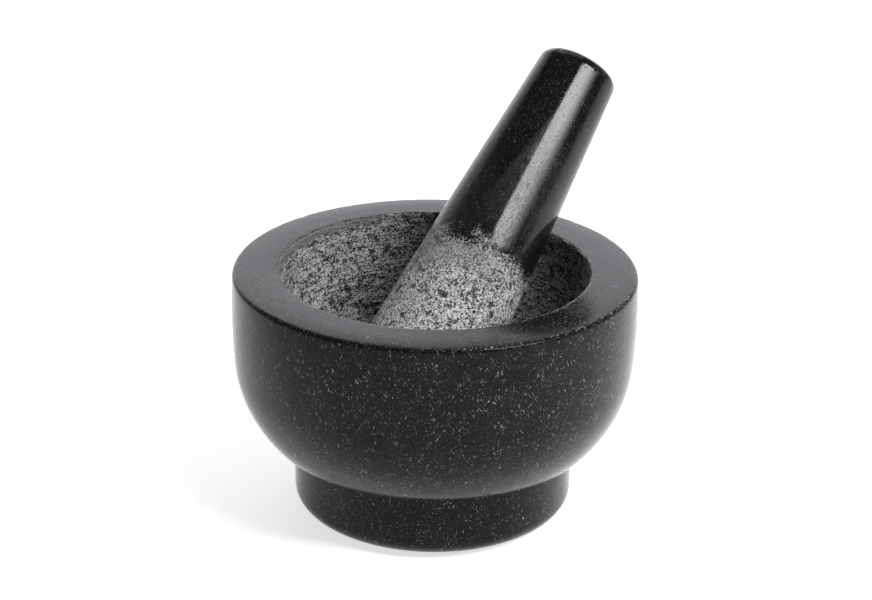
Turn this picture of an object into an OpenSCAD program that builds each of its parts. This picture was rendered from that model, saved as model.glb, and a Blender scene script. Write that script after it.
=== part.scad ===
// Granite mortar and pestle: a thick bowl with a low round foot, turned from one
// block, and a tapered pestle standing in it, leaning on the rim.
// Millimetres, +Z up. Origin: centre of the underside of the base pad, on the
// bowl's axis. The pestle leans towards +X and +Y.

/* [Bowl outside] */
// Widest diameter of the bowl, at its belly
belly_d = 151;  // [130:1:170]
// Height of the stone from the foot's underside to the rim
stone_h = 93.3;  // [80:0.1:110]
// Height of the belly above the foot's underside
belly_z = 77.5;  // [60:0.5:90]
// Radius of the nearly straight upper wall, seen in section
wall_arc_r = 235;  // [150:5:400]
// Slope of the wall where the upper arc hands over to the lower one, degrees
wall_arc_a = 4.8;  // [3:0.1:8]
// Radius of the lower wall, seen in section
lower_arc_r = 48;  // [40:0.5:60]
// Slope of the wall where the lower arc reaches the heel, degrees
lower_arc_a = 43.8;  // [35:0.1:50]
// Rounding of the heel, where the wall turns in under the bowl
heel_r = 4;  // [2:0.5:8]

/* [Foot] */
// Diameter of the foot
foot_d = 105.4;  // [90:0.1:120]
// Rounding of the foot's lower edge
foot_edge_r = 6.4;  // [2:0.1:8]
// Hollow corner between the foot and the underside of the bowl
foot_fillet_r = 1.8;  // [0.5:0.1:3]

/* [Rim and cavity] */
// Diameter of the mouth at the rim
mouth_d = 114.2;  // [100:0.1:130]
// Depth of the cavity below the rim
cavity_depth = 64.3;  // [50:0.1:70]
// Rounding of the rim's outer edge
rim_outer_r = 1.5;  // [0.5:0.1:4]
// Rounding of the rim's inner edge
rim_inner_r = 0.8;  // [0.3:0.1:3]

/* [Pestle] */
// Length of the pestle, tip to head
pestle_len = 161;  // [140:1:200]
// Radius of the round grinding end
end_r = 24.6;  // [18:0.1:30]
// Taper of the shaft towards the head, degrees each side
taper_a = 3.84;  // [2:0.01:6]
// Rounding of the edge of the head
head_edge_r = 4.5;  // [2:0.1:8]
// Radius of the low dome on top of the head
head_dome_r = 62;  // [30:1:200]
// Lean of the pestle from the vertical at rest, degrees
lean_a = 44.9;  // [30:0.1:60]
// Direction it leans in, degrees from +X towards +Y
lean_dir = 50.4;  // [0:0.1:90]
// Gap kept between the pestle and the stone it rests on
rest_gap = 0.35;  // [0.3:0.05:1]

/* [Base pad] */
// Diameter of the soft disc glued under the foot
pad_d = 84;  // [60:1:90]
// Thickness of that disc, which the foot stands on
pad_t = 2;  // [1:0.5:4]

/* [Hidden] */
$fn = 180;
big = 400;
lap = 1;
hair = 0.002;
// Bowl outside, in (radius, height above the foot's underside)
wall_c = [belly_d / 2 - wall_arc_r, belly_z];
wall_end = wall_c + wall_arc_r * [cos(wall_arc_a), -sin(wall_arc_a)];
lower_c = wall_end - lower_arc_r * [cos(wall_arc_a), -sin(wall_arc_a)];
lower_end = lower_c + lower_arc_r * [cos(lower_arc_a), -sin(lower_arc_a)];
heel_c = lower_end - heel_r * [cos(lower_arc_a), -sin(lower_arc_a)];
under_z = heel_c[1] - heel_r;
// Rim edges: centres of the two roundings
rim_outer_dz = stone_h - rim_outer_r - wall_c[1];
rim_outer_c = [
  wall_c[0] + sqrt(pow(wall_arc_r - rim_outer_r, 2) - pow(rim_outer_dz, 2)),
  stone_h - rim_outer_r
];
rim_outer_n = (rim_outer_c - wall_c) / norm(rim_outer_c - wall_c);
// Cavity: an arc down from the mouth runs on into a round floor
mouth_r = mouth_d / 2;
mouth_arc_r = cavity_depth * cavity_depth / mouth_r;
mouth_c = [mouth_r - mouth_arc_r, stone_h];
floor_drop = (pow(mouth_c[0], 2) - pow(mouth_arc_r - cavity_depth, 2))
  / (2 * (mouth_arc_r - cavity_depth));
floor_arc_r = cavity_depth - floor_drop;
floor_c = [0, stone_h - floor_drop];
floor_n = (floor_c - mouth_c) / norm(floor_c - mouth_c);
floor_join_z = floor_c[1] + floor_arc_r * floor_n[1];
rim_inner_c = [
  mouth_c[0] + sqrt(pow(mouth_arc_r + rim_inner_r, 2) - pow(rim_inner_r, 2)),
  stone_h - rim_inner_r
];
rim_inner_n = (rim_inner_c - mouth_c) / norm(rim_inner_c - mouth_c);
// Pestle, in (radius, distance from the tip)
shaft_n = [cos(taper_a), sin(taper_a)];
shaft_g = [-sin(taper_a), cos(taper_a)];
shaft_k = end_r + end_r * sin(taper_a);
shaft_start = end_r * (1 + sin(taper_a));
dome_c = [0, pestle_len - head_dome_r];
head_base = shaft_n * (shaft_k - head_edge_r) - dome_c;
head_b = head_base * shaft_g;
head_q = head_base * head_base - pow(head_dome_r - head_edge_r, 2);
head_c = dome_c + head_base + shaft_g * (sqrt(head_b * head_b - head_q) - head_b);
shaft_end = head_c + head_edge_r * shaft_n;
dome_start = dome_c + (head_c - dome_c) * head_dome_r / norm(head_c - dome_c);
// Resting place: the shaft's lower side passes the rim and the round end meets
// the floor, both at rest_gap, in the upright plane through the bowl's axis
side_a = lean_a - taper_a;
side_n = [cos(side_a), -sin(side_a)];
side_g = [sin(side_a), cos(side_a)];
side_off = side_n * rim_inner_c - end_r - rest_gap - rim_inner_r;
rest_base = side_n * side_off - floor_c;
rest_b = rest_base * side_g;
rest_q = rest_base * rest_base - pow(floor_arc_r - end_r - rest_gap, 2);
end_c = floor_c + rest_base + side_g * (-rest_b - sqrt(rest_b * rest_b - rest_q));

// Part of a half section between two heights
module band(z0, z1) {
  intersection() {
    children();
    translate([0, z0])
      square([big, z1 - z0]);
  }
}

// Round part of a section. Of two arcs that share a tangent, the smaller is drawn
// a hair full, or two where a third arc joins it, so that they meet cleanly
module disc_at(c, r, hairs = 0) {
  translate(c)
    circle(r = r + hairs * hair);
}

// What a rounding of radius r takes off a convex corner, between directions a and b
module corner_waste(c, r, a, b) {
  reach = 3 * r;
  difference() {
    polygon([c, c + reach * a, c + reach * (a + b), c + reach * b]);
    disc_at(c, r, 1);
  }
}

module foot_section() {
  difference() {
    square([foot_d / 2, under_z + lap]);
    corner_waste([foot_d / 2 - foot_edge_r, foot_edge_r], foot_edge_r, [0, -1], [1, 0]);
  }
  translate([foot_d / 2, under_z - foot_fillet_r])
    difference() {
      translate([-lap, 0])
        square([foot_fillet_r + lap, foot_fillet_r + lap]);
      disc_at([foot_fillet_r, 0], foot_fillet_r, 1);
    }
}

module bowl_section() {
  band(wall_end[1], stone_h)
    disc_at(wall_c, wall_arc_r);
  band(lower_end[1], belly_z)
    disc_at(lower_c, lower_arc_r, 1);
  disc_at(heel_c, heel_r, 2);
  translate([0, under_z])
    square([heel_c[0], lower_end[1] - under_z + lap]);
}

module cavity_section() {
  band(floor_join_z, stone_h + lap)
    disc_at(mouth_c, mouth_arc_r);
  band(0, stone_h)
    disc_at(floor_c, floor_arc_r, 1);
}

// Bowl and foot, one piece of stone
module mortar() {
  color([0.06, 0.06, 0.065])
    translate([0, 0, pad_t])
      rotate_extrude()
        difference() {
          union() {
            bowl_section();
            foot_section();
          }
          cavity_section();
          corner_waste(rim_outer_c, rim_outer_r, [0, 1], rim_outer_n);
          corner_waste(rim_inner_c, rim_inner_r, [0, 1], -rim_inner_n);
        }
}

module pestle_section() {
  band(-lap, pestle_len)
    disc_at([0, end_r], end_r, 1);
  polygon([
    [0, end_r],
    [end_r / 2, end_r],
    [end_r * cos(taper_a), shaft_start],
    shaft_end,
    dome_start,
    [0, dome_start[1] + lap / 2]
  ]);
  disc_at(head_c, head_edge_r, 1);
  band(dome_start[1], pestle_len + lap)
    disc_at(dome_c, head_dome_r);
}

// Pestle: round grinding end, straight taper, softly domed head
module pestle() {
  color([0.10, 0.10, 0.105])
    translate([end_c[0] * cos(lean_dir), end_c[0] * sin(lean_dir), pad_t + end_c[1]])
      rotate([0, lean_a, lean_dir])
        translate([0, 0, -end_r])
          rotate_extrude()
            pestle_section();
}

// Soft disc glued under the foot
module base_pad() {
  color([0.12, 0.12, 0.12])
    cylinder(d = pad_d, h = pad_t);
}

mortar();
pestle();
base_pad();
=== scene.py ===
"""Looks for the granite mortar and pestle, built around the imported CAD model.

Everything is in metres, +Z up, in the CAD frame. Each stone piece is turned from a
section, as the real one is, then worn: ground rough where food is crushed and left
polished elsewhere. Pieces only ever lose stone, so they stay inside the CAD solids.
"""
import math

import bpy
import numpy as np
from mathutils import Matrix, Vector, noise


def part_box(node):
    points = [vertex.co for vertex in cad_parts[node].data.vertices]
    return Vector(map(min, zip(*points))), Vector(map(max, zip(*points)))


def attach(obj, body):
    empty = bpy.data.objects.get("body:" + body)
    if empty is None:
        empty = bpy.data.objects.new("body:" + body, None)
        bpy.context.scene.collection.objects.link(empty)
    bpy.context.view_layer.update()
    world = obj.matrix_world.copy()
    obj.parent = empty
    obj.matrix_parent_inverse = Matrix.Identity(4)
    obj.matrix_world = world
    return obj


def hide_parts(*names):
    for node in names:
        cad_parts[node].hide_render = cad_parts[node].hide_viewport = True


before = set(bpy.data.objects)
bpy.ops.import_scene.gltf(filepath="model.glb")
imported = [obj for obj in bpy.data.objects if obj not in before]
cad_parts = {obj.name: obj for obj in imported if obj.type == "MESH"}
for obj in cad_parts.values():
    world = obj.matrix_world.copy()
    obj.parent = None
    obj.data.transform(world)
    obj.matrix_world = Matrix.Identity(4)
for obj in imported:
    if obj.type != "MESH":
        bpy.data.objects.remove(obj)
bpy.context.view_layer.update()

MM = 0.001
QUARTER = math.pi / 2

# ---------------------------------------------------------------- driving sizes, mm
BELLY_D, STONE_H, BELLY_Z = 151.0, 93.3, 77.5
# The outside's upper and lower arcs: radius, and how far below level each one ends
WALL_R, WALL_A = 235.0, math.radians(4.8)
LOWER_R, LOWER_A = 48.0, math.radians(43.8)
HEEL_R = 4.0
FOOT_D, FOOT_EDGE_R, FOOT_FILLET_R = 105.4, 6.4, 1.8
MOUTH_D, CAVITY_DEPTH = 114.2, 64.3
RIM_OUTER_R, RIM_INNER_R = 1.5, 0.8
# How far from the axis the rim's crown starts, and the crown's radius
CROWN_START, CROWN_R = 65.0, 100.0
PESTLE_LEN, END_R, TAPER = 161.0, 24.6, math.radians(3.84)
HEAD_EDGE_R, HEAD_DOME_R = 4.5, 62.0
LEAN, LEAN_DIR = math.radians(44.9), math.radians(50.4)
PAD_EDGE_R = 0.5
# All surfaces lie this far inside the exact solids
HAIR = 0.04
# How far up from its tip the pestle is ground
GROUND_REACH = 71
# The most that grinding and bruises take off each stone
MORTAR_WEAR, PESTLE_WEAR = 0.8, 0.7
# Points round each piece
MORTAR_TURN, PESTLE_TURN, PAD_TURN = 500, 320, 192


# ---------------------------------------------------------------- sections
def angle_of(v):
    return math.atan2(v[1], v[0])


def at(angle):
    return np.array([math.cos(angle), math.sin(angle)])


def arc(centre, radius, start, end, step):
    """Points along an arc, both ends included, about a step apart."""
    n = max(2, math.ceil(abs(end - start) * radius / step))
    return [centre + radius * at(start + (end - start) * i / n) for i in range(n + 1)]


def line(a, b, step):
    """Points along a straight line, both ends included, no more than a step apart."""
    a, b = np.array(a, float), np.array(b, float)
    n = max(1, math.ceil(np.linalg.norm(b - a) / step))
    return [a + (b - a) * i / n for i in range(n + 1)]


def joined(parts):
    """One run of points from several that share their ends."""
    points = list(parts[0])
    for part in parts[1:]:
        points += part[1:] if np.linalg.norm(part[0] - points[-1]) < 0.01 else part
    return np.array(points)


def mortar_section():
    """(radius, height above the foot's underside), from the cavity's lowest point over
    the rim and down the outside to the middle of the underside."""
    wall_c = np.array([BELLY_D / 2 - WALL_R, BELLY_Z])
    lower_c = wall_c + (WALL_R - LOWER_R) * at(-WALL_A)
    heel_c = lower_c + (LOWER_R - HEEL_R) * at(-LOWER_A)
    under_z = heel_c[1] - HEEL_R
    outer_dz = STONE_H - RIM_OUTER_R - wall_c[1]
    outer_dx = math.sqrt((WALL_R - RIM_OUTER_R) ** 2 - outer_dz**2)
    outer_c = wall_c + np.array([outer_dx, outer_dz])
    mouth_r = MOUTH_D / 2
    mouth_arc_r = CAVITY_DEPTH**2 / mouth_r
    mouth_c = np.array([mouth_r - mouth_arc_r, STONE_H])
    reach = mouth_arc_r - CAVITY_DEPTH
    drop = (mouth_c[0] ** 2 - reach**2) / (2 * reach)
    floor_c = np.array([0, STONE_H - drop])
    join = angle_of(floor_c - mouth_c)
    inner_dx = math.sqrt((mouth_arc_r + RIM_INNER_R) ** 2 - RIM_INNER_R**2)
    inner_c = np.array([mouth_c[0] + inner_dx, STONE_H - RIM_INNER_R])
    inner_a = angle_of(inner_c - mouth_c)
    wall_top = angle_of(outer_c - wall_c)
    foot_r = FOOT_D / 2
    fillet_c = np.array([foot_r + FOOT_FILLET_R, under_z - FOOT_FILLET_R])
    edge_c = np.array([foot_r - FOOT_EDGE_R, FOOT_EDGE_R])
    floor_r = CAVITY_DEPTH - drop
    # Where the points come closer together: off the floor's middle, below the lip, and
    # on the rim near each edge
    floor_a, lip_a = -QUARTER + 0.3, inner_a - 0.05
    rim_in, rim_out = [inner_c[0] + 4, STONE_H], [outer_c[0] - 2, STONE_H]
    section = joined(
        [
            arc(floor_c, floor_r, -QUARTER, floor_a, 2.4),
            arc(floor_c, floor_r, floor_a, join, 1.1),
            arc(mouth_c, mouth_arc_r, join, lip_a, 1.0),
            arc(mouth_c, mouth_arc_r, lip_a, inner_a, 0.5),
            arc(inner_c, RIM_INNER_R, inner_a + math.pi, QUARTER, 0.25),
            line([inner_c[0], STONE_H], rim_in, 0.6),
            line(rim_in, rim_out, 1.4),
            line(rim_out, [outer_c[0], STONE_H], 0.6),
            arc(outer_c, RIM_OUTER_R, QUARTER, wall_top, 0.4),
            arc(wall_c, WALL_R, wall_top, -WALL_A, 2.2),
            arc(lower_c, LOWER_R, -WALL_A, -LOWER_A, 1.6),
            arc(heel_c, HEEL_R, -LOWER_A, -QUARTER, 0.6),
            line([heel_c[0], under_z], [fillet_c[0], under_z], 2.0),
            arc(fillet_c, FOOT_FILLET_R, QUARTER, math.pi, 0.5),
            line([foot_r, fillet_c[1]], [foot_r, FOOT_EDGE_R], 2.6),
            arc(edge_c, FOOT_EDGE_R, 0, -QUARTER, 1.2),
            line([edge_c[0], 0], [0, 0], 8.0),
        ]
    )
    # Hand polishing has crowned the outer half of the rim
    crown = np.clip(section[:, 0] - CROWN_START, 0, None) ** 2 / (2 * CROWN_R)
    section[:, 1] -= crown * smooth(BELLY_Z, STONE_H - RIM_OUTER_R, section[:, 1])
    return section


def pestle_section():
    """(radius, distance from the tip), from the tip up to the middle of the head."""
    end_c = np.array([0, END_R])
    normal, along = at(TAPER), at(TAPER + QUARTER)
    dome_c = np.array([0, PESTLE_LEN - HEAD_DOME_R])
    base = normal * (END_R + END_R * math.sin(TAPER) - HEAD_EDGE_R) - dome_c
    b = base @ along
    q = base @ base - (HEAD_DOME_R - HEAD_EDGE_R) ** 2
    head_c = dome_c + base + along * (math.sqrt(b * b - q) - b)
    head_a = angle_of(head_c - dome_c)
    return joined(
        [
            arc(end_c, END_R, -QUARTER, TAPER, 0.9),
            line(end_c + END_R * normal, head_c + HEAD_EDGE_R * normal, 0.9),
            arc(head_c, HEAD_EDGE_R, TAPER, head_a, 0.5),
            arc(dome_c, HEAD_DOME_R, head_a, QUARTER, 1.1),
        ]
    )


def pad_section(radius, height):
    """(radius, height) of the soft disc, from the middle of its top to its bottom."""
    edge = radius - PAD_EDGE_R
    top_c, low_c = np.array([edge, height - PAD_EDGE_R]), np.array([edge, PAD_EDGE_R])
    return joined(
        [
            line([0, height], [edge, height], 3.0),
            arc(top_c, PAD_EDGE_R, QUARTER, 0, 0.16),
            line([radius, height - PAD_EDGE_R], [radius, PAD_EDGE_R], 0.5),
            arc(low_c, PAD_EDGE_R, 0, -QUARTER, 0.16),
            line([edge, 0], [0, 0], 3.0),
        ]
    )


# ---------------------------------------------------------------- turned meshes
class Turned:
    """A section turned about its axis: points in rings, and one point at each end.
    Lengths are mm until the mesh is made. out_is_left says that the stone lies to the
    right of the way the section runs, and False that it lies to the left."""

    def __init__(self, section, segments):
        self.section = section
        self.rings = section[1:-1]
        self.segments = segments
        self.turn = np.arange(segments) * (2 * math.pi / segments)
        self.c, self.s = np.cos(self.turn), np.sin(self.turn)
        step = np.diff(section, axis=0)
        self.length = np.concatenate([[0], np.cumsum(np.linalg.norm(step, axis=1))])
        tangent = section[2:] - section[:-2]
        tangent /= np.linalg.norm(tangent, axis=1)[:, None]
        # To the left of the way the section runs
        self.normal = np.stack([-tangent[:, 1], tangent[:, 0]], 1)

    def grid(self, values):
        """A value for each ring, spread over its points."""
        return np.repeat(np.asarray(values)[:, None], self.segments, 1)

    def points(self, depth, out_is_left=True):
        """The points of every ring, moved depth and a hair into the stone."""
        depth = np.broadcast_to(depth + HAIR, (len(self.rings), self.segments))
        n = self.normal if out_is_left else -self.normal
        r = self.rings[:, :1] - n[:, :1] * depth
        z = self.rings[:, 1:] - n[:, 1:] * depth
        return np.stack([r * self.c, r * self.s, z], 2)

    def mesh(self, name, depth, end_depth=(0, 0), out_is_left=True):
        """A closed mesh. end_depth moves the two end points into the stone."""
        grid = self.points(depth, out_is_left)
        first, last = self.section[0], self.section[-1]
        up = 1 if out_is_left else -1
        ends = [
            [0, 0, first[1] - up * (end_depth[0] + HAIR)],
            [0, 0, last[1] + up * (end_depth[1] + HAIR)],
        ]
        co = np.concatenate([grid.reshape(-1, 3), ends]) * MM
        k, m = self.segments, len(self.rings)
        i = np.arange(m - 1)[:, None] * k
        j = np.arange(k)[None, :]
        j2 = (j + 1) % k
        quads = np.stack([i + j, i + j2, i + k + j2, i + k + j], 2).reshape(-1, 4)
        if out_is_left:
            quads = quads[:, ::-1]
        faces = quads.tolist()
        for tip, ring, forward in ((m * k, 0, True), (m * k + 1, (m - 1) * k, False)):
            for a in range(k):
                pair = (ring + a, ring + (a + 1) % k)
                faces.append([tip, *(pair if forward == out_is_left else pair[::-1])])
        mesh = bpy.data.meshes.new(name)
        mesh.from_pydata(co.tolist(), [], faces)
        mesh.polygons.foreach_set("use_smooth", [True] * len(faces))
        mesh.update()
        return mesh


def smooth(low, high, x):
    """0 up to low and 1 from high, eased between. It falls if low is above high."""
    t = np.clip((np.asarray(x, float) - low) / (high - low), 0, 1)
    return t * t * (3 - 2 * t)


def field(points, cell, octaves, seed):
    """Fractal noise, about -1 to 1, at points in mm. cell is its coarsest size."""
    flat = points.reshape(-1, 3) / cell
    shift = Vector((seed * 17.13, seed * 5.71, seed * 11.37))
    spots = (Vector(p) + shift for p in flat.tolist())
    out = [noise.fractal(spot, 1.0, 2.0, octaves) for spot in spots]
    return np.array(out).reshape(points.shape[:-1])


def write(mesh, name, values, ends):
    """Stores one number for each point, the two end points last."""
    layer = mesh.attributes.new(name, "FLOAT", "POINT")
    data = np.concatenate([np.asarray(values, np.float32).ravel(), ends])
    layer.data.foreach_set("value", data.astype(np.float32))


def write_vectors(mesh, name, values):
    """Stores one vector for each point."""
    layer = mesh.attributes.new(name, "FLOAT_VECTOR", "POINT")
    layer.data.foreach_set("vector", values.astype(np.float32).ravel())


def piece(name, mesh, material, body, node):
    """One visible piece that stands for a CAD node and rides on its body."""
    obj = bpy.data.objects.new(name, mesh)
    bpy.context.scene.collection.objects.link(obj)
    mesh.materials.append(material)
    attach(obj, body)
    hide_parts(node)


def ease(depth, shares):
    """Brings the first rings to the first one's mean depth, by these shares, so that no
    spike stands at the tip. Gives that depth."""
    tip = float(depth[0].mean())
    first = depth[: len(shares)]
    first += (tip - first) * np.array(shares)[:, None]
    return tip


# ---------------------------------------------------------------- material helpers
class Tree:
    """Short calls for building one material's nodes."""

    def __init__(self, name):
        self.material = bpy.data.materials.new(name)
        self.material.use_nodes = True
        self.tree = self.material.node_tree
        self.shader = self.tree.nodes["Principled BSDF"]
        co = self.node("ShaderNodeTexCoord")
        self.mm = self.vector("SCALE", co.outputs["Object"], scale=1 / MM)

    def put(self, socket, value):
        if isinstance(value, bpy.types.NodeSocket):
            self.tree.links.new(value, socket)
        else:
            socket.default_value = value

    def node(self, kind, inputs=None, **settings):
        n = self.tree.nodes.new(kind)
        for key, value in settings.items():
            setattr(n, key, value)
        for key, value in (inputs or {}).items():
            self.put(n.inputs[key], value)
        return n

    def math(self, operation, a, b=0.0, c=0.0, clamp=False):
        n = self.node("ShaderNodeMath", operation=operation, use_clamp=clamp)
        for socket, value in zip(n.inputs, (a, b, c)):
            self.put(socket, value)
        return n.outputs[0]

    def vector(self, operation, a, b=(0, 0, 0), scale=1.0):
        n = self.node("ShaderNodeVectorMath", operation=operation)
        self.put(n.inputs[0], a)
        self.put(n.inputs[1], b)
        if operation == "SCALE":
            n.inputs["Scale"].default_value = scale
        return n.outputs["Vector"]

    def ramp(self, value, low, high, to_low=0.0, to_high=1.0):
        n = self.node("ShaderNodeMapRange", interpolation_type="SMOOTHSTEP")
        for socket, x in zip(n.inputs, (value, low, high, to_low, to_high)):
            self.put(socket, x)
        return n.outputs[0]

    # A Mix node keeps its number sockets at inputs 2 and 3 and output 0, and its colour
    # sockets at inputs 6 and 7 and output 2
    def mix(self, amount, a, b):
        """From colour a to colour b."""
        n = self.node("ShaderNodeMix", data_type="RGBA")
        self.put(n.inputs["Factor"], amount)
        self.put(n.inputs[6], a)
        self.put(n.inputs[7], b)
        return n.outputs[2]

    def blend(self, amount, a, b):
        """From number a to number b."""
        n = self.node("ShaderNodeMix", data_type="FLOAT")
        self.put(n.inputs["Factor"], amount)
        self.put(n.inputs[2], a)
        self.put(n.inputs[3], b)
        return n.outputs[0]

    def place(self, vector, turn=(0, 0, 0), scale=(1, 1, 1), shift=(0, 0, 0)):
        inputs = {"Vector": vector, "Location": shift, "Rotation": turn, "Scale": scale}
        return self.node("ShaderNodeMapping", inputs).outputs[0]

    def noise(self, vector, scale, detail=2.0, roughness=0.5):
        inputs = {
            "Vector": vector,
            "Scale": scale,
            "Detail": detail,
            "Roughness": roughness,
        }
        return self.node("ShaderNodeTexNoise", inputs).outputs["Fac"]

    def cells(self, vector, scale):
        """Distance from each cell's middle, and two random numbers for each cell."""
        n = self.node("ShaderNodeTexVoronoi", {"Vector": vector, "Scale": scale})
        split = self.node("ShaderNodeSeparateColor", {"Color": n.outputs["Color"]})
        return n.outputs["Distance"], split.outputs[0], split.outputs[1]

    def read(self, name):
        n = self.node("ShaderNodeAttribute", attribute_name=name)
        return n.outputs["Fac"]


def grey(level, red=1.0, blue=1.0):
    return (level * red, level, level * blue, 1.0)


# Polished stone: its black matrix, and the feldspar in it
BLACK, CHARCOAL = grey(0.0016), grey(0.0042, 0.98, 1.06)
CLOUD, FELDSPAR = grey(0.021, 0.98, 1.04), grey(0.30, 0.985, 1.0)
# Sizes of the cells that hold one crystal, needle, dot or pit each, mm
CRYSTAL, NEEDLE, DOT, PIT = 0.48, 0.95, 0.55, 1.1
# The share of those cells that stay empty
NO_NEEDLE, NO_DOT, NO_PIT = 0.60, 0.55, 0.62
# Directions that the feldspar needles lie in, and their width for their length
NEEDLE_TURNS = ((0.3, 0.9, 0.2), (1.7, 0.4, 1.1), (0.9, 2.2, 2.6), (2.5, 1.3, 0.6))
NEEDLE_STRETCH = 0.3
# How far the needles and dots drift off their straight grid, mm
DRIFT = 7.0
# The ground stone's roughness, and how deep the bumps are, in metres
ROUGH_STONE = 0.8
BUMP_STONE, BUMP_PAD = 0.2 * MM, 0.08 * MM


def needles(t, where):
    """Thin pale crystals in several directions, 0 to 1."""
    total = None
    for k, turn in enumerate(NEEDLE_TURNS):
        stretch = (1, 1, NEEDLE_STRETCH)
        spot = t.place(where, turn, stretch, (7.3 * k, 3.1 * k, 1.7 * k))
        distance, chosen, bright = t.cells(spot, 1 / NEEDLE)
        lit = t.math("MULTIPLY", t.ramp(distance, 0.27, 0.08), bright)
        lit = t.math("MULTIPLY", lit, t.math("GREATER_THAN", chosen, NO_NEEDLE))
        total = lit if total is None else t.math("MAXIMUM", total, lit)
    return total


def stone(name, streak, scratch, pale, crush, gloss, ior, tint, feldspar):
    """Near-black granite, polished or ground rough as the mesh's "ground" says, honed
    to a plain grey where "hone" says and scratched where "scuff" says.

    streak, scratch: how close the marks of each lie, in the mesh's own coordinates.
    pale, crush: how light the ground stone is, and how much of it is pale.
    gloss: how rough the polish is.
    ior, tint: how strongly the polish mirrors, and the share of that left head on.
    feldspar: scales how many pale crystals the polish shows.
    """
    t = Tree(name)
    own = t.node("ShaderNodeAttribute", attribute_name="own").outputs["Vector"]
    drift = t.node("ShaderNodeTexNoise", {"Vector": t.mm, "Scale": 0.16, "Detail": 1.0})
    drift = t.vector("SUBTRACT", drift.outputs["Color"], (0.5, 0.5, 0.5))
    bent = t.vector("ADD", t.mm, t.vector("SCALE", drift, scale=DRIFT))
    # The shifts only keep one pattern from lying on another
    patch = t.noise(t.mm, 0.09, 3.0, 0.55)
    patch_fine = t.noise(t.place(t.mm, shift=(31, 5, 12)), 0.30, 3.0, 0.6)
    grain = t.noise(t.place(t.mm, shift=(3, 1, 8)), 1.3, 3.0, 0.75)
    fine = t.noise(t.place(t.mm, shift=(4, 9, 2)), 2.3, 2.0, 0.6)
    _, tone, shade = t.cells(t.place(t.mm, shift=(1, 5, 4)), 1 / CRYSTAL)
    crystal = t.math("MULTIPLY_ADD", grain, 1.0, -0.75)
    crystal = t.math("MULTIPLY_ADD", tone, 0.5, crystal)
    mask = t.math("ADD", t.read("ground"), t.math("MULTIPLY", crystal, 1.1))
    ground = t.ramp(mask, 0.40, 0.58)

    # Polished stone: black matrix, cloudy dark grey, needles and dots of feldspar
    matrix = t.mix(t.ramp(patch, 0.35, 0.7), BLACK, CHARCOAL)
    matrix = t.mix(t.ramp(fine, 0.42, 0.78), matrix, CLOUD)
    crowd = t.blend(0.4, patch_fine, patch)
    crowd = t.ramp(crowd, 0.38, 0.60, 0.25 * feldspar, feldspar)
    long = t.math("MULTIPLY", needles(t, bent), crowd)
    distance, chosen, bright = t.cells(bent, 1 / DOT)
    dots = t.math("MULTIPLY", t.ramp(distance, 0.36, 0.1), bright)
    dots = t.math("MULTIPLY", dots, t.math("GREATER_THAN", chosen, NO_DOT))
    dots = t.math("MULTIPLY", dots, t.math("MULTIPLY", crowd, 0.75))
    specks = t.math("MAXIMUM", long, dots, clamp=True)
    polished = t.mix(specks, matrix, FELDSPAR)

    # Ground stone: crushed pale grains over dark, in patches, with marks of grinding
    marks = t.noise(t.place(own, scale=streak), 1.0, 3.0, 0.62)
    crushed = t.math("MULTIPLY_ADD", marks, 1.5, t.math("ADD", crystal, -0.75))
    salt = t.ramp(crushed, -0.06 - crush, 0.02 - crush)
    salt = t.math("MULTIPLY", salt, t.math("MULTIPLY_ADD", shade, 0.6, 0.4))
    torn = t.math("MULTIPLY_ADD", crystal, 0.16, patch_fine)
    dark_patch = t.ramp(torn, 0.36, 0.48, 0.12, 1.0)
    body = t.math("MULTIPLY", salt, dark_patch)
    rough = t.mix(body, grey(pale * 0.03), grey(pale, 0.99, 0.965))
    honed = t.mix(salt, grey(pale * 0.17, 0.99, 1.01), grey(pale * 0.4, 0.99, 1.01))
    rough = t.mix(t.read("hone"), rough, honed)
    rough = t.mix(t.math("MULTIPLY", specks, 0.5), rough, grey(pale * 1.2, 1.0, 0.98))
    rust_field = t.noise(t.place(t.mm, shift=(77, 3, 41)), 0.5, 2.0, 0.5)
    rust = t.math("MULTIPLY", t.ramp(rust_field, 0.67, 0.74), 0.5)
    rough = t.mix(rust, rough, (pale * 0.55, pale * 0.37, pale * 0.26, 1))
    t.put(t.shader.inputs["Base Color"], t.mix(ground, polished, rough))

    # The polish is cloudy too, duller on the feldspar and along the scratches
    satin = t.ramp(patch_fine, 0.3, 0.7, gloss, gloss * 1.35)
    satin = t.math("ADD", satin, t.math("MULTIPLY", specks, 0.1))
    lines = t.noise(t.place(own, scale=scratch), 1.0, 2.0, 0.5)
    lines = t.math("ABSOLUTE", t.math("SUBTRACT", lines, 0.5))
    lines = t.ramp(lines, 0.0, 0.022, 1.0, 0.0)
    lines = t.math("MULTIPLY", lines, t.read("scuff"))
    satin = t.math("MULTIPLY_ADD", lines, 0.1, satin)
    t.put(t.shader.inputs["Roughness"], t.blend(ground, satin, ROUGH_STONE))
    # Polished black stone mirrors little head on and much more at a low angle
    t.shader.inputs["IOR"].default_value = ior
    t.shader.inputs["Specular Tint"].default_value = grey(tint)

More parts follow.
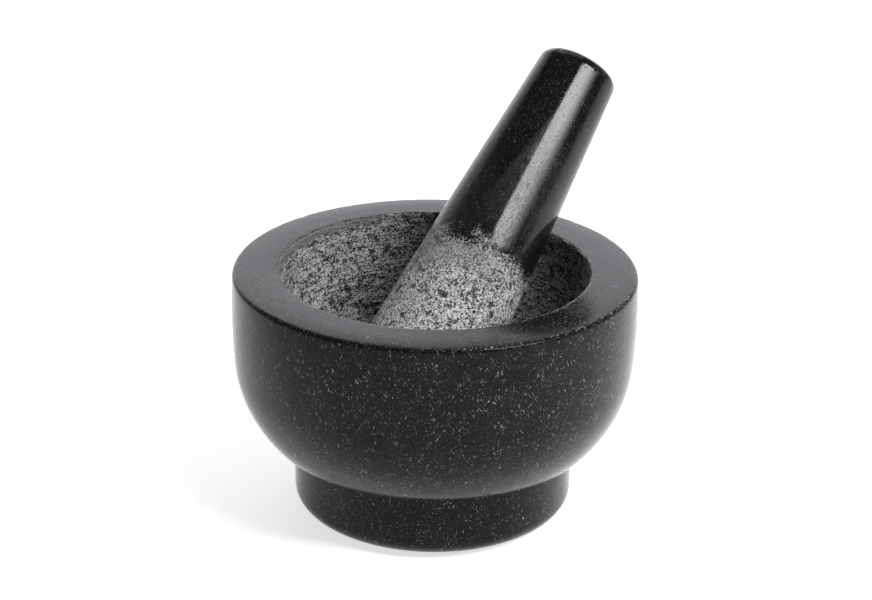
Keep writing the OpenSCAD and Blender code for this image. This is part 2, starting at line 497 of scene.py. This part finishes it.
    # Relief: fine pits in the polish, crushed grain and grooves in the ground stone
    pit_distance, pit_chosen, _ = t.cells(t.place(t.mm, shift=(9, 9, 9)), 1 / PIT)
    pits = t.ramp(pit_distance, 0.2, 0.07)
    pits = t.math("MULTIPLY", pits, t.math("GREATER_THAN", pit_chosen, NO_PIT))
    pits = t.math("MULTIPLY_ADD", lines, 0.4, pits)
    polish_height = t.math("SUBTRACT", t.math("MULTIPLY", fine, 0.26), pits)
    rough_height = t.math("MULTIPLY_ADD", salt, 1.3, t.math("MULTIPLY", marks, 1.6))
    height = t.blend(ground, t.math("MULTIPLY", polish_height, 0.3), rough_height)
    relief = {"Strength": 1.0, "Distance": BUMP_STONE, "Height": height}
    bump = t.node("ShaderNodeBump", relief)
    t.put(t.shader.inputs["Normal"], bump.outputs[0])
    return t.material


# ---------------------------------------------------------------- mortar
# The radius of the ring that the mortar's own coordinates run round, and the spacing of
# its grooves, mm
RING_R, GROOVE = 9, 1.7
# How scratched the mortar's polish is, and the heights, in mm, up to which the pestle's
# is fully scratched and from which it is clean
MORTAR_SCUFF, SCUFF_FULL, SCUFF_NONE = 0.35, 70, 150


def make_mortar():
    shape = Turned(mortar_section(), MORTAR_TURN)
    r, z = shape.rings[:, 0], shape.rings[:, 1]
    # How far each ring is past the lip, where the flat rim starts
    lip = int(np.argmax(z > STONE_H - 1e-6))
    to_lip = shape.length[1:-1] - shape.length[1 + lip]
    plain = shape.points(0.0)
    turn = shape.turn[None, :]
    wander = field(plain, cell=22, octaves=2, seed=1)
    ragged = field(plain, cell=5, octaves=3, seed=2)
    # The ground stone reaches up to the lip, and raggedly to just past it at the left
    left = smooth(0.2, 0.9, 0.2 * np.sin(turn) - np.cos(turn))
    edge = -0.2 + 0.8 * left + 0.4 * wander + 0.5 * ragged
    ground = smooth(0.7, -0.7, shape.grid(to_lip) - edge)
    # At the left a honed band lies below the lip, with a ragged lower edge
    hone = smooth(-4.2, -2.4, shape.grid(to_lip) - ragged - 0.5 * wander) * left
    # Crushing bruises the wall, and grinding leaves grooves round it
    way = (RING_R * shape.c, RING_R * shape.s, shape.length[1:-1, None] / GROOVE)
    ring_way = np.stack(np.broadcast_arrays(*way), 2)
    groove = field(ring_way, cell=1, octaves=2, seed=3)
    bruise = field(plain, cell=6, octaves=3, seed=4)
    dents = field(plain, cell=2.6, octaves=2, seed=5)
    depth = 0.30 + 0.22 * bruise + 0.14 * groove + 0.16 * dents
    depth = np.clip(depth, 0, MORTAR_WEAR) * ground
    # The rim rolls into the mouth at the left
    roll = smooth(0.6, 1, -np.cos(turn)) * smooth(4.6, 0, np.abs(shape.grid(to_lip)))
    depth = depth + 0.15 * roll * (1 + 0.3 * wander)
    # Both edges of the rim are a little chipped, the inner one only at the left
    top = shape.grid(smooth(STONE_H - 2.5, STONE_H - 0.2, z))
    outer = shape.grid(smooth(1.7, 0.4, np.abs(r - BELLY_D / 2 + 1.3)) * (r > 70)) * top
    inner = shape.grid(smooth(1.8, 0.2, np.abs(to_lip)))
    chips = smooth(0.28, 0.62, field(plain, cell=3.2, octaves=2, seed=6))
    depth = depth + (0.1 * outer + 0.2 * inner * left) * chips
    # Both are worn dull too, the outer one a little all round and the inner one away
    # from the left. The outer one also carries a painted glint: its pale ground stone
    # is much stronger at the front right, where the key light falls on it.
    key_glint = smooth(0.35, 0.9, np.cos(turn + math.radians(42)))
    ground = np.maximum(ground, (0.04 + 0.22 * key_glint) * outer)
    ground = np.maximum(ground, 0.36 * inner * (1 - left))
    apex = ease(depth, (1, 0.9, 0.7, 0.5, 0.3, 0.15))
    mesh = shape.mesh("mortar_stone", depth, (apex, 0), out_is_left=True)
    write(mesh, "ground", ground, (1, 0))
    write(mesh, "hone", hone, (0, 0))
    write(mesh, "scuff", MORTAR_SCUFF * np.ones_like(ground), (0, 0))
    # Its own coordinates run round the bowl, so that a mark drawn in them does too
    ring_way[..., 2] = shape.grid(shape.length[1:-1])
    ends = [[0, 0, 0], [0, 0, shape.length[-1]]]
    write_vectors(mesh, "own", np.concatenate([ring_way.reshape(-1, 3), ends]))
    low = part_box("mortar")[0]
    mesh.transform(Matrix.Translation((0, 0, low.z)))
    material = stone(
        "mortar_granite",
        streak=(0.6, 0.6, 1.9),
        scratch=(0.7, 0.7, 5),
        pale=0.72,
        crush=0.03,
        gloss=0.07,
        ior=1.27,
        tint=0.55,
        feldspar=1,
    )
    piece("bowl_of_stone", mesh, material, "bowl", "mortar")


# ---------------------------------------------------------------- pestle
def make_pestle():
    shape = Turned(pestle_section(), PESTLE_TURN)
    z = shape.rings[:, 1]
    plain = shape.points(0.0, out_is_left=False)
    height = plain[..., 2]
    wander = field(plain, cell=26, octaves=2, seed=11)
    ragged = field(plain, cell=7, octaves=3, seed=12)
    reach = GROUND_REACH + 6 * wander + 5 * ragged
    ground = smooth(10, -9, height - reach)
    # Honed smoother on the upper side and at the edge of the polish
    upper = smooth(0.1, 0.9, -np.cos(shape.turn[None, :]))
    mottle = field(plain, cell=12, octaves=2, seed=17)
    hone = smooth(-20, -4, height - reach + 8 * mottle) * upper
    hone = np.maximum(0.7 * hone, 0.5 * smooth(-6, 1, height - reach))
    bruise = field(plain, cell=6, octaves=3, seed=14)
    dents = field(plain, cell=2.4, octaves=2, seed=15)
    depth = np.clip(0.22 + 0.2 * bruise + 0.18 * dents, 0, PESTLE_WEAR) * ground
    # The head's edge is a little chipped
    edge = shape.grid(smooth(3.0, 0.5, np.abs(z - (PESTLE_LEN - 4))))
    chips = smooth(0.35, 0.7, field(plain, cell=3, octaves=2, seed=16))
    depth = depth + 0.2 * chips * edge
    tip = ease(depth, (1, 0.8, 0.6, 0.4, 0.2))
    mesh = shape.mesh("pestle_stone", depth, (tip, 0), out_is_left=False)
    write(mesh, "ground", ground, (1, 0))
    write(mesh, "hone", hone, (0, 0))
    write(mesh, "scuff", smooth(SCUFF_NONE, SCUFF_FULL, height), (1, 0))
    ends = [[0, 0, 0], [0, 0, PESTLE_LEN]]
    write_vectors(mesh, "own", np.concatenate([plain.reshape(-1, 3), ends]))
    # The round end touches the three faces that meet at the box's low corner
    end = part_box("pestle")[0] + Vector((1, 1, 1)) * END_R * MM
    stand = Matrix.Translation(end)
    stand @= Matrix.Rotation(LEAN_DIR, 4, "Z") @ Matrix.Rotation(LEAN, 4, "Y")
    stand @= Matrix.Translation((0, 0, -END_R * MM))
    mesh.transform(stand)
    material = stone(
        "pestle_granite",
        streak=(0.8, 1.2, 1.5),
        scratch=(4, 4, 0.12),
        pale=0.92,
        crush=0.08,
        gloss=0.06,
        ior=1.36,
        tint=1.0,
        feldspar=0.4,
    )
    piece("pestle_of_stone", mesh, material, "pestle", "pestle")


# ---------------------------------------------------------------- base pad
def make_pad():
    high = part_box("base_pad")[1]
    shape = Turned(pad_section(high.x / MM, high.z / MM), PAD_TURN)
    mesh = shape.mesh("pad_foam", 0.0)
    t = Tree("pad_rubber")
    skin = t.noise(t.mm, 2.4, 4.0, 0.6)
    t.put(t.shader.inputs["Base Color"], t.mix(skin, grey(0.012), grey(0.03)))
    t.put(t.shader.inputs["Roughness"], t.ramp(skin, 0.3, 0.7, 0.72, 0.92))
    bump = t.node("ShaderNodeBump", {"Distance": BUMP_PAD, "Height": skin})
    t.put(t.shader.inputs["Normal"], bump.outputs[0])
    piece("soft_foot_disc", mesh, t.material, "bowl", "base_pad")


make_mortar()
make_pestle()
make_pad()

# ---------------------------------------------------------------- camera
CAMERA_TILT, CAMERA_ROLL = math.radians(22.683), math.radians(0.778)
CAMERA_AWAY, SENSOR_W, LENS = 0.85174, 36.0, 94.507
CLIP_NEAR, CLIP_FAR = 0.01, 100
# What the camera and the lights are aimed at
AIM = Vector((0.00043, 0, 0.082125))


def looking(tilt, roll):
    """Facing +Y and down by tilt, then rolled."""
    upright = Matrix.Rotation(QUARTER - tilt, 4, "X")
    return upright @ Matrix.Rotation(roll, 4, "Z")


def make_camera():
    data = bpy.data.cameras.new("camera")
    data.lens, data.sensor_width = LENS, SENSOR_W
    data.sensor_fit = "HORIZONTAL"
    data.clip_start, data.clip_end = CLIP_NEAR, CLIP_FAR
    obj = bpy.data.objects.new("camera", data)
    back = Vector((0, -math.cos(CAMERA_TILT), math.sin(CAMERA_TILT)))
    place = Matrix.Translation(AIM + back * CAMERA_AWAY)
    obj.matrix_world = place @ looking(CAMERA_TILT, CAMERA_ROLL)
    bpy.context.scene.collection.objects.link(obj)
    bpy.context.scene.camera = obj


# ---------------------------------------------------------------- light and floor
# What a fading light still gives at its lower end, as a share
FADED = 0.04
# The floor's half width in metres, its corners, its paper's greys and how it glows
FLOOR_HALF = 9.0
FLOOR_CORNERS = (-1, -1), (1, -1), (1, 1), (-1, 1)
FLOOR_GREYS = grey(0.92), grey(0.94)
FLOOR_GLOW = 0.68
# The studio's colour, and how bright its dark and white parts are
WORLD_COLOUR = (0.995, 0.98, 1.04, 1)
WORLD_DARK, WORLD_WHITE = 0.08, 1.84


def softbox(name, azimuth, elevation, away, size, power, roll=0.0, fade=0.0):
    """An area light aimed at the bowl. Azimuth 0 is the camera's side, +90 the right.
    fade is the share of its height over which it dims towards its lower end."""
    az, el = math.radians(azimuth), math.radians(elevation)
    flat = math.cos(el)
    way = Vector((math.sin(az) * flat, -math.cos(az) * flat, math.sin(el)))
    data = bpy.data.lights.new(name, "AREA")
    data.shape, data.size, data.size_y = "RECTANGLE", *size
    data.energy = power
    if fade:
        data.use_nodes = True
        nodes, links = data.node_tree.nodes, data.node_tree.links
        spot = nodes.new("ShaderNodeSeparateXYZ")
        where = nodes.new("ShaderNodeNewGeometry").outputs["Parametric"]
        links.new(where, spot.inputs[0])
        dim = nodes.new("ShaderNodeMapRange")
        dim.interpolation_type = "SMOOTHSTEP"
        for key, value in (("From Max", fade), ("To Min", FADED)):
            dim.inputs[key].default_value = value
        links.new(spot.outputs["Y"], dim.inputs["Value"])
        links.new(dim.outputs[0], nodes["Emission"].inputs["Strength"])
    obj = bpy.data.objects.new(name, data)
    turn = (-way).to_track_quat("-Z", "Y").to_matrix().to_4x4()
    turn @= Matrix.Rotation(math.radians(roll), 4, "Z")
    obj.matrix_world = Matrix.Translation(AIM + way * away) @ turn
    bpy.context.scene.collection.objects.link(obj)


def make_floor():
    mesh = bpy.data.meshes.new("floor")
    corners = [(x * FLOOR_HALF, y * FLOOR_HALF, 0) for x, y in FLOOR_CORNERS]
    mesh.from_pydata(corners, [], [(0, 1, 2, 3)])
    t = Tree("floor_paper")
    tone = t.noise(t.mm, 0.004, 2.0)
    t.put(t.shader.inputs["Base Color"], t.mix(tone, *FLOOR_GREYS))
    t.shader.inputs["Roughness"].default_value = 0.9
    t.shader.inputs["Specular IOR Level"].default_value = 0.1
    # A light table: it glows a little from below
    t.shader.inputs["Emission Color"].default_value = grey(1.0)
    t.shader.inputs["Emission Strength"].default_value = FLOOR_GLOW
    mesh.materials.append(t.material)
    obj = bpy.data.objects.new("floor", mesh)
    bpy.context.scene.collection.objects.link(obj)


def make_world():
    """A white wall behind, and darker overhead, at the sides and behind the camera."""
    world = bpy.data.worlds.new("studio")
    world.use_nodes = True
    tree = world.node_tree
    nodes, links = tree.nodes, tree.links
    co = nodes.new("ShaderNodeTexCoord")
    axes = nodes.new("ShaderNodeSeparateXYZ")
    links.new(co.outputs["Generated"], axes.inputs[0])

    def ramp(socket, *values):
        """From the first two values to the other two."""
        n = nodes.new("ShaderNodeMapRange")
        n.interpolation_type = "SMOOTHSTEP"
        for key, value in enumerate(values, 1):
            n.inputs[key].default_value = value
        links.new(socket, n.inputs[0])
        return n.outputs[0]

    def math_node(operation, *sockets):
        n = nodes.new("ShaderNodeMath")
        n.operation = operation
        for key, socket in enumerate(sockets):
            links.new(socket, n.inputs[key])
        return n.outputs[0]

    behind = ramp(axes.outputs["Y"], -0.25, 0.55, 0.0, 1.0)
    low = ramp(axes.outputs["Z"], 0.45, 0.64, 1.0, 0.0)
    middle = ramp(math_node("ABSOLUTE", axes.outputs["X"]), 0.30, 0.75, 1.0, 0.3)
    wall = math_node("MULTIPLY", math_node("MULTIPLY", behind, low), middle)
    background = nodes["Background"]
    background.inputs["Color"].default_value = WORLD_COLOUR
    strength = ramp(wall, 0.0, 1.0, WORLD_DARK, WORLD_WHITE)
    links.new(strength, background.inputs["Strength"])
    bpy.context.scene.world = world


make_camera()
make_floor()
make_world()
softbox(
    "key",
    azimuth=56.3,
    elevation=37.1,
    away=1.3,
    size=(0.34, 1.16),
    power=25,
    roll=40.4,
    fade=0.64,
)
softbox("top", azimuth=180, elevation=62, away=1.5, size=(1.4, 0.9), power=4)

bpy.context.scene.view_settings.view_transform = "Standard"
